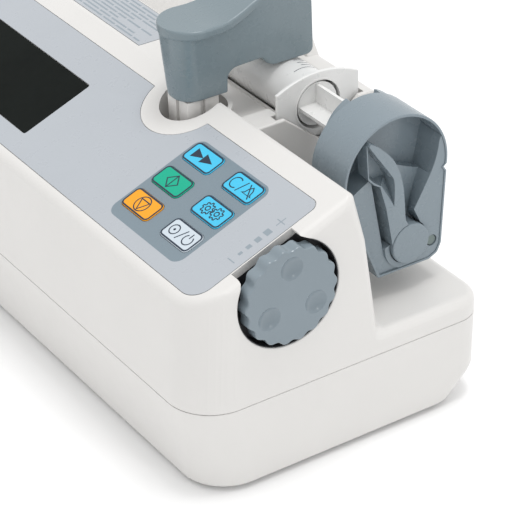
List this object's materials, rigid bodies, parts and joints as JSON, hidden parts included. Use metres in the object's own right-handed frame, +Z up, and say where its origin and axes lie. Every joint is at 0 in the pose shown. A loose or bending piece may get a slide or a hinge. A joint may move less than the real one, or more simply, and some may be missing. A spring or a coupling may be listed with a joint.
{
  "type": "infusion pump",
  "caption": "Single-channel syringe infusion pump: sloped keypad and display, side knob, clamp over a loaded syringe, and a plunger pusher with a release lever.",
  "frame": {"origin": "middle of the bounding box's underside, below the feet", "axes": "+X along the case to the knob end, +Y from the keypad to the syringe side, +Z up"},
  "size_m": [0.316, 0.1474, 0.165],
  "materials": {
    "white_plastic": "fine satin texture, warm white",
    "grey_plastic": "satin blue-grey moulding",
    "dark_plastic": "satin black",
    "panel_sheet": "printed polyester sheet, pale grey",
    "display_black": "glossy near-black window",
    "key_blue": "sky blue",
    "key_green": "green",
    "key_orange": "orange",
    "key_pale": "pale blue-grey",
    "circuit_board": "green solder mask",
    "rubber": "matt black",
    "cap_rubber": "matt green-grey",
    "steel": "turned",
    "aluminium": "satin",
    "brass": "machined",
    "clear_plastic": "translucent moulding"
  },
  "bodies": {
    "case": {"battery_cover": "white_plastic", "battery_pack": "dark_plastic", "bearing_left": "steel", "bearing_right": "steel", "clamp_bracket": "steel", "clamp_spring": "steel", "display_module": "dark_plastic", "display_window": "display_black", "drive_chassis": "aluminium", "foot_front_left": "rubber", "foot_front_right": "rubber", "foot_rear_left": "rubber", "foot_rear_right": "rubber", "fuse_holder": "dark_plastic", "guide_rod": "steel", "instruction_plate": "panel_sheet", "key_board": "circuit_board", "knob_encoder": "dark_plastic", "lower_case": "white_plastic", "main_board": "circuit_board", "mains_inlet": "dark_plastic", "panel_sheet": "panel_sheet", "speaker": "dark_plastic", "stepper_motor": "dark_plastic", "syringe_barrel": "clear_plastic", "tube_seal": "rubber", "upper_case": "white_plastic"},
    "pusher": {"head_shell": "grey_plastic", "head_cover": "grey_plastic", "screw_cap": "cap_rubber", "force_pad": "aluminium", "drive_tube": "steel", "carriage": "aluminium", "syringe_plunger": "clear_plastic", "plunger_stopper": "rubber"},
    "lever": {"release_lever": "grey_plastic", "pivot_cap": "grey_plastic", "release_rod": "steel", "half_nut": "brass"},
    "jaw_front": {"jaw_front": "grey_plastic"},
    "jaw_rear": {"jaw_rear": "grey_plastic"},
    "screw": {"lead_screw": "steel", "screw_gear": "brass"},
    "pinion": {"motor_pinion": "brass", "motor_shaft": "steel"},
    "clamp_lifter": {"clamp_post": "white_plastic", "clamp_shaft": "steel"},
    "clamp_arm": {"clamp_arm": "grey_plastic"},
    "knob": {"knob": "grey_plastic", "knob_shaft": "steel"},
    "key_bolus": {"key_bolus": "key_blue"},
    "key_clear": {"key_clear": "key_blue"},
    "key_start": {"key_start": "key_green"},
    "key_setup": {"key_setup": "key_blue"},
    "key_stop": {"key_stop": "key_orange"},
    "key_power": {"key_power": "key_pale"}
  },
  "joints": [
    {"name": "pusher_slide", "type": "slide", "parent": "case", "child": "pusher", "axis": [1, 0, 0], "range_m": [-0.0255, 0.048]},
    {"name": "lever_squeeze", "type": "hinge", "parent": "pusher", "child": "lever", "pos_m": [0.134, 0.04835, 0.075], "axis": [-1, 0, 0], "range_deg": [0, 8.5], "stiffness_Nm_per_rad": 0.6, "springref_deg": -11.46},
    {"name": "jaw_front_swing", "type": "hinge", "parent": "pusher", "child": "jaw_front", "pos_m": [0.1097, 0.03635, 0.0965], "axis": [1, 0, 0], "range_deg": [0, 9]},
    {"name": "jaw_rear_swing", "type": "hinge", "parent": "pusher", "child": "jaw_rear", "pos_m": [0.1097, 0.05335, 0.0965], "axis": [-1, 0, 0], "range_deg": [0, 9]},
    {"name": "screw_turn", "type": "hinge", "parent": "case", "child": "screw", "pos_m": [0, 0.04835, 0.05], "axis": [1, 0, 0], "continuous": true},
    {"name": "pinion_turn", "type": "hinge", "parent": "case", "child": "pinion", "pos_m": [0, 0.02435, 0.05], "axis": [1, 0, 0], "continuous": true},
    {"name": "clamp_lift", "type": "slide", "parent": "case", "child": "clamp_lifter", "axis": [0, 0, 1], "range_m": [0, 0.028], "stiffness_N_per_m": 300, "springref_m": -0.02, "deforming": ["clamp_spring"]},
    {"name": "clamp_swing", "type": "hinge", "parent": "clamp_lifter", "child": "clamp_arm", "pos_m": [0.0415, 0.00075, 0.002], "axis": [0, 0, 1], "range_deg": [0, 90]},
    {"name": "knob_turn", "type": "hinge", "parent": "case", "child": "knob", "pos_m": [0.151, -0.02765, 0.0885], "axis": [1, 0, 0], "continuous": true},
    {"name": "key_bolus_press", "type": "slide", "parent": "case", "child": "key_bolus", "axis": [0, 0.3633, -0.9317], "range_m": [0, 0.0004], "stiffness_N_per_m": 800, "springref_m": -0.0005},
    {"name": "key_clear_press", "type": "slide", "parent": "case", "child": "key_clear", "axis": [0, 0.3633, -0.9317], "range_m": [0, 0.0004], "stiffness_N_per_m": 800, "springref_m": -0.0005},
    {"name": "key_start_press", "type": "slide", "parent": "case", "child": "key_start", "axis": [0, 0.3633, -0.9317], "range_m": [0, 0.0004], "stiffness_N_per_m": 800, "springref_m": -0.0005},
    {"name": "key_setup_press", "type": "slide", "parent": "case", "child": "key_setup", "axis": [0, 0.3633, -0.9317], "range_m": [0, 0.0004], "stiffness_N_per_m": 800, "springref_m": -0.0005},
    {"name": "key_stop_press", "type": "slide", "parent": "case", "child": "key_stop", "axis": [0, 0.3633, -0.9317], "range_m": [0, 0.0004], "stiffness_N_per_m": 800, "springref_m": -0.0005},
    {"name": "key_power_press", "type": "slide", "parent": "case", "child": "key_power", "axis": [0, 0.3633, -0.9317], "range_m": [0, 0.0004], "stiffness_N_per_m": 800, "springref_m": -0.0005}
  ],
  "couplings": [
    {"joint": "jaw_front_swing", "follows": "lever_squeeze", "ratio": 1},
    {"joint": "jaw_rear_swing", "follows": "lever_squeeze", "ratio": 1},
    {"joint": "pinion_turn", "follows": "screw_turn", "ratio": -3}
  ]
}
